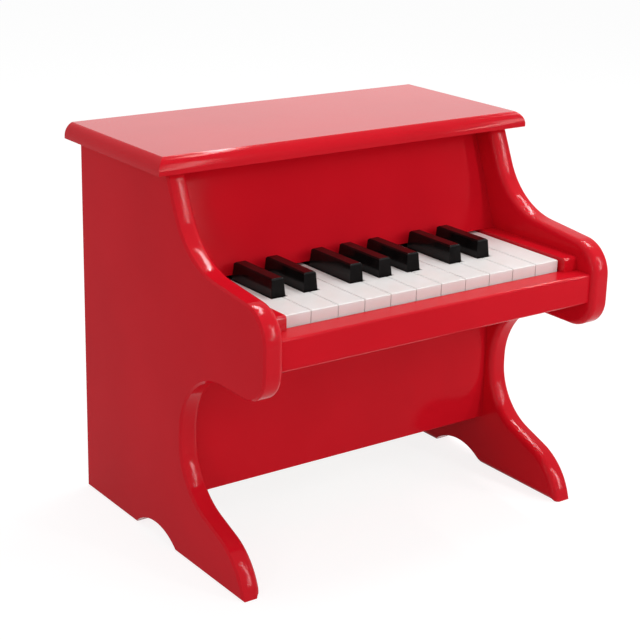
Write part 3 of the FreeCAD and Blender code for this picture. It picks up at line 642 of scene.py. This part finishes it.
class TOYPIANO_OT_lacquer_cabinet(Operator):
    """Lacquer the boards of the cabinet that show"""

    bl_idname = "toypiano.lacquer_cabinet"
    bl_label = "Lacquer the cabinet"

    def execute(self, context):
        settings = settings_of(context).lacquer
        for film in FILMS:
            lacquer = make_lacquer(film, settings)
            for node in film.boards:
                give_finish(node, lacquer)
                # The side panels' edges are rounded already.
                if node not in SIDE_BOARDS:
                    soften_edges(node, settings.edge_radius)
        return {"FINISHED"}


class TOYPIANO_OT_paint_keys(Operator):
    """Paint the white and black keys"""

    bl_idname = "toypiano.paint_keys"
    bl_label = "Paint the keys"

    def execute(self, context):
        settings = settings_of(context).keys
        paints = {False: make_white_paint(settings), True: make_black_paint(settings)}
        for black, paint in paints.items():
            for node in key_nodes(black):
                give_finish(node, paint)
                soften_edges(node, settings.edge_radius)
        return {"FINISHED"}


class TOYPIANO_OT_finish_action(Operator):
    """Give the pieces inside the cabinet their wood, felt, metal and plastic"""

    bl_idname = "toypiano.finish_action"
    bl_label = "Finish the action"

    def execute(self, context):
        hammers = [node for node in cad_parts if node.startswith("hammer_") and node != "hammer_shaft"]
        groups = (
            (make_bare_wood(), BARE_BOARDS),
            (make_felt(), FELTS),
            (make_steel(), STEEL_PIECES),
            (make_cast_metal(), ["tone_block"]),
            (make_hammer_plastic(), hammers),
        )
        for material, nodes in groups:
            for node in nodes:
                give_finish(node, material)
        return {"FINISHED"}


def screw_head_mesh(settings):
    """Round head with a cross slot, standing on its origin along +Z."""
    radius = settings.head_diameter / 2
    height = settings.head_height
    rim = height * RIM_SHARE
    profile = [(0.0, 0.0), (radius, 0.0), (radius, rim)]
    for step in range(1, CROWN_STEPS + 1):
        turn = QUARTER_TURN * step / CROWN_STEPS
        profile.append((radius * math.cos(turn), rim + (height - rim) * math.sin(turn)))
    head = bmesh.new()
    points = [head.verts.new((across, 0.0, up)) for across, up in profile]
    edges = [head.edges.new(pair) for pair in zip(points, points[1:])]
    bmesh.ops.spin(
        head,
        geom=points + edges,
        cent=(0, 0, 0),
        axis=UP,
        angle=math.tau,
        steps=HEAD_STEPS,
        use_duplicate=False,
    )
    bmesh.ops.remove_doubles(head, verts=head.verts, dist=radius * JOIN_SHARE)
    bmesh.ops.recalc_face_normals(head, faces=head.faces)
    mesh = bpy.data.meshes.new("screw_head")
    head.to_mesh(mesh)
    head.free()
    return cut_cross_slot(mesh, settings)


def cut_cross_slot(mesh, settings):
    """Cut two crossed slots, narrowed downwards, into a screw head's crown."""
    scene = bpy.context.scene.collection
    head = bpy.data.objects.new("screw_head", mesh)
    scene.objects.link(head)
    cutters = []
    for turn in (0, QUARTER_TURN):
        cutter = bmesh.new()
        bmesh.ops.create_cube(cutter, size=1.0)
        length = settings.head_diameter * SLOT_LENGTH_SHARE
        bottom = settings.head_height * SLOT_FLOOR_SHARE
        top = settings.head_height * SLOT_TOP_SHARE
        for vert in cutter.verts:
            share = 1.0 if vert.co.z > 0 else SLOT_TAPER_SHARE
            along = vert.co.x * length * share
            across = vert.co.y * settings.slot_width * share
            vert.co = (along, across, top if vert.co.z > 0 else bottom)
        bmesh.ops.rotate(cutter, verts=cutter.verts, matrix=Matrix.Rotation(turn, 3, "Z"))
        shape = bpy.data.meshes.new("slot_cutter")
        cutter.to_mesh(shape)
        cutter.free()
        slot = bpy.data.objects.new("slot_cutter", shape)
        scene.objects.link(slot)
        cut = head.modifiers.new("slot", "BOOLEAN")
        cut.operation = "DIFFERENCE"
        cut.solver = "EXACT"
        cut.object = slot
        cutters.append(slot)
    cut_head = head.evaluated_get(bpy.context.evaluated_depsgraph_get())
    result = bpy.data.meshes.new_from_object(cut_head)
    for leftover in [head, *cutters]:
        bpy.data.objects.remove(leftover)
    result.name = "screw_head_with_slot"
    result.shade_smooth()
    result.set_sharp_from_angle(angle=HEAD_CREASE)
    return result


def even_steps(low, high, count):
    """Places spread evenly from low to high."""
    return [low + (high - low) * step / (count - 1) for step in range(count)]


class TOYPIANO_OT_add_back_screws(Operator):
    """Add the screws that hold the back panel to the side panels and to the tone block"""

    bl_idname = "toypiano.add_back_screws"
    bl_label = "Add the back panel's screws"

    def execute(self, context):
        settings = settings_of(context).screws
        panel_low, panel_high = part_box("back_panel")
        block_low, block_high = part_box("tone_block")
        left_inner_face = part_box("left_side_panel")[1].x
        side_x = (abs(panel_low.x) + abs(left_inner_face)) / 2
        lowest = panel_low.z + settings.end_margin
        highest = panel_high.z - settings.end_margin
        heights = even_steps(lowest, highest, settings.per_side)
        places = [(side * side_x, height) for side in (-1, 1) for height in heights]
        block_middle = (block_low.z + block_high.z) / 2
        block_end = block_high.x * BLOCK_SPAN_SHARE
        places += [(x, block_middle) for x in even_steps(-block_end, block_end, settings.into_block)]
        mesh = screw_head_mesh(settings)
        mesh.materials.append(bpy.data.materials["bright_steel"])
        for number, (x, z) in enumerate(places, start=1):
            screw = bpy.data.objects.new(f"back_screw_{number}", mesh)
            context.scene.collection.objects.link(screw)
            # Each head faces backwards, and its slot ends up at a turn of its own.
            facing = Matrix.Rotation(-QUARTER_TURN, 4, "X")
            turn = Matrix.Rotation(number * SLOT_TURN, 4, "Z")
            screw.matrix_world = Matrix.Translation((x, panel_high.y, z)) @ facing @ turn
            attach(screw, CABINET)
        return {"FINISHED"}


def grey(tone):
    return (tone, tone, tone, 1.0)


def seen_directly(tree):
    """1 for rays from the camera, in a mirror or through glass, and 0 for the rest."""
    path = tree.nodes.new("ShaderNodeLightPath")
    seen = path.outputs["Is Camera Ray"]
    for kind in ("Is Glossy Ray", "Is Transmission Ray"):
        either = tree.nodes.new("ShaderNodeMath")
        either.operation = "MAXIMUM"
        tree.links.new(seen, either.inputs[0])
        tree.links.new(path.outputs[kind], either.inputs[1])
        seen = either.outputs["Value"]
    return seen


def make_world(scene, ambient):
    """White wherever it is seen, and a plain level of light for everything else."""
    world = bpy.data.worlds.new("studio")
    world.use_nodes = True
    tree = world.node_tree
    tree.nodes.clear()
    light = tree.nodes.new("ShaderNodeBackground")
    light.inputs["Strength"].default_value = ambient
    white = tree.nodes.new("ShaderNodeBackground")
    blend = tree.nodes.new("ShaderNodeMixShader")
    for background in (light, white):
        background.inputs["Color"].default_value = grey(1.0)
    white.inputs["Strength"].default_value = 1.0
    output = tree.nodes.new("ShaderNodeOutputWorld")
    tree.links.new(seen_directly(tree), blend.inputs["Fac"])
    tree.links.new(light.outputs["Background"], blend.inputs[1])
    tree.links.new(white.outputs["Background"], blend.inputs[2])
    tree.links.new(blend.outputs["Shader"], output.inputs["Surface"])
    scene.world = world


def make_floor(scene, size):
    """Pale floor that keeps a faint shadow."""
    half = size / 2
    mesh = bpy.data.meshes.new("floor")
    corners = [(-half, -half, 0), (half, -half, 0), (half, half, 0), (-half, half, 0)]
    mesh.from_pydata(corners, [], [(0, 1, 2, 3)])
    floor = bpy.data.objects.new("floor", mesh)
    scene.collection.objects.link(floor)
    material = bpy.data.materials.new("pale_floor")
    material.use_nodes = True
    tree = material.node_tree
    tree.nodes.clear()
    seen = seen_directly(tree)
    white = tree.nodes.new("ShaderNodeBsdfDiffuse")
    white.inputs["Color"].default_value = grey(FLOOR_TONE)
    shaded = tree.nodes.new("ShaderNodeBsdfDiffuse")
    shaded.inputs["Color"].default_value = grey(SEEN_TONE)
    glow = tree.nodes.new("ShaderNodeEmission")
    glow.inputs["Color"].default_value = grey(GLOW_TONE)
    pale = tree.nodes.new("ShaderNodeAddShader")
    blend = tree.nodes.new("ShaderNodeMixShader")
    output = tree.nodes.new("ShaderNodeOutputMaterial")
    tree.links.new(shaded.outputs["BSDF"], pale.inputs[0])
    tree.links.new(glow.outputs["Emission"], pale.inputs[1])
    tree.links.new(seen, blend.inputs["Fac"])
    tree.links.new(white.outputs["BSDF"], blend.inputs[1])
    tree.links.new(pale.outputs["Shader"], blend.inputs[2])
    tree.links.new(blend.outputs["Shader"], output.inputs["Surface"])
    mesh.materials.append(material)


def add_softbox(scene, softbox):
    """Add a soft light that shows in gloss but not to the camera. Its length lies square to the piano's."""
    lamp = bpy.data.lights.new(softbox.name, "AREA")
    lamp.shape = "RECTANGLE"
    lamp.size = softbox.width
    lamp.size_y = softbox.length
    lamp.energy = softbox.power
    light = bpy.data.objects.new(softbox.name, lamp)
    away = (Vector(softbox.place) - Vector(softbox.aim)).normalized()
    along = away.cross(SIDEWAYS).normalized()
    turn = Matrix((along.cross(away), along, away)).transposed().to_4x4()
    light.matrix_world = Matrix.Translation(softbox.place) @ turn
    light.visible_camera = False
    scene.collection.objects.link(light)


def add_camera(scene, settings):
    """Camera at a place, turned by azimuth, elevation and roll."""
    azimuth, elevation, roll = settings.azimuth, settings.elevation, settings.roll
    level = math.cos(elevation)
    back = Vector((math.sin(azimuth) * level, -math.cos(azimuth) * level, math.sin(elevation)))
    right = (-back).cross(UP).normalized()
    up = back.cross(right)
    rolled_right = right * math.cos(roll) + up * math.sin(roll)
    rolled_up = up * math.cos(roll) - right * math.sin(roll)
    camera = bpy.data.objects.new("camera", bpy.data.cameras.new("camera"))
    turn = Matrix((rolled_right, rolled_up, back)).transposed().to_4x4()
    camera.matrix_world = Matrix.Translation(settings.camera_place) @ turn
    camera.data.lens = settings.lens
    camera.data.sensor_width = FRAME_WIDTH
    camera.data.shift_x, camera.data.shift_y = settings.shift
    camera.data.clip_end = settings.floor_size * 2
    scene.collection.objects.link(camera)
    scene.camera = camera


class TOYPIANO_OT_set_stage(Operator):
    """Set the piano on a pale floor, with soft lights and a camera"""

    bl_idname = "toypiano.set_stage"
    bl_label = "Set the stage"

    def execute(self, context):
        scene = context.scene
        settings = settings_of(context).stage
        scene.view_settings.view_transform = "Standard"
        make_world(scene, settings.ambient)
        make_floor(scene, settings.floor_size)
        for softbox in SOFTBOXES:
            add_softbox(scene, softbox)
        add_camera(scene, settings)
        return {"FINISHED"}


class TOYPIANO_PT_sidebar(Panel):
    """Operators of the toy piano, in the order that they run"""

    bl_label = "Toy Piano"
    bl_idname = "TOYPIANO_PT_sidebar"
    bl_space_type = "VIEW_3D"
    bl_region_type = "UI"
    bl_category = "Toy Piano"

    def draw(self, context):
        for operator in OPERATORS:
            self.layout.operator(operator.bl_idname)
        settings = settings_of(context)
        for group in (settings.lacquer, settings.keys, settings.screws, settings.stage):
            box = self.layout.box()
            for name in group.bl_rna.properties.keys():
                if name not in ("rna_type", "name"):
                    box.prop(group, name)


OPERATORS = (
    TOYPIANO_OT_lacquer_cabinet,
    TOYPIANO_OT_paint_keys,
    TOYPIANO_OT_finish_action,
    TOYPIANO_OT_add_back_screws,
    TOYPIANO_OT_set_stage,
)
SETTING_GROUPS = (LacquerSettings, KeySettings, ScrewSettings, StageSettings, ToyPianoSettings)
CLASSES = SETTING_GROUPS + OPERATORS + (TOYPIANO_PT_sidebar,)


def register():
    for item in CLASSES:
        bpy.utils.register_class(item)
    bpy.types.Scene.toy_piano = PointerProperty(type=ToyPianoSettings)


def unregister():
    del bpy.types.Scene.toy_piano
    for item in reversed(CLASSES):
        bpy.utils.unregister_class(item)


def main():
    register()
    bpy.ops.toypiano.lacquer_cabinet()
    bpy.ops.toypiano.paint_keys()
    bpy.ops.toypiano.finish_action()
    bpy.ops.toypiano.add_back_screws()
    bpy.ops.toypiano.set_stage()


if __name__ == "__main__":
    main()
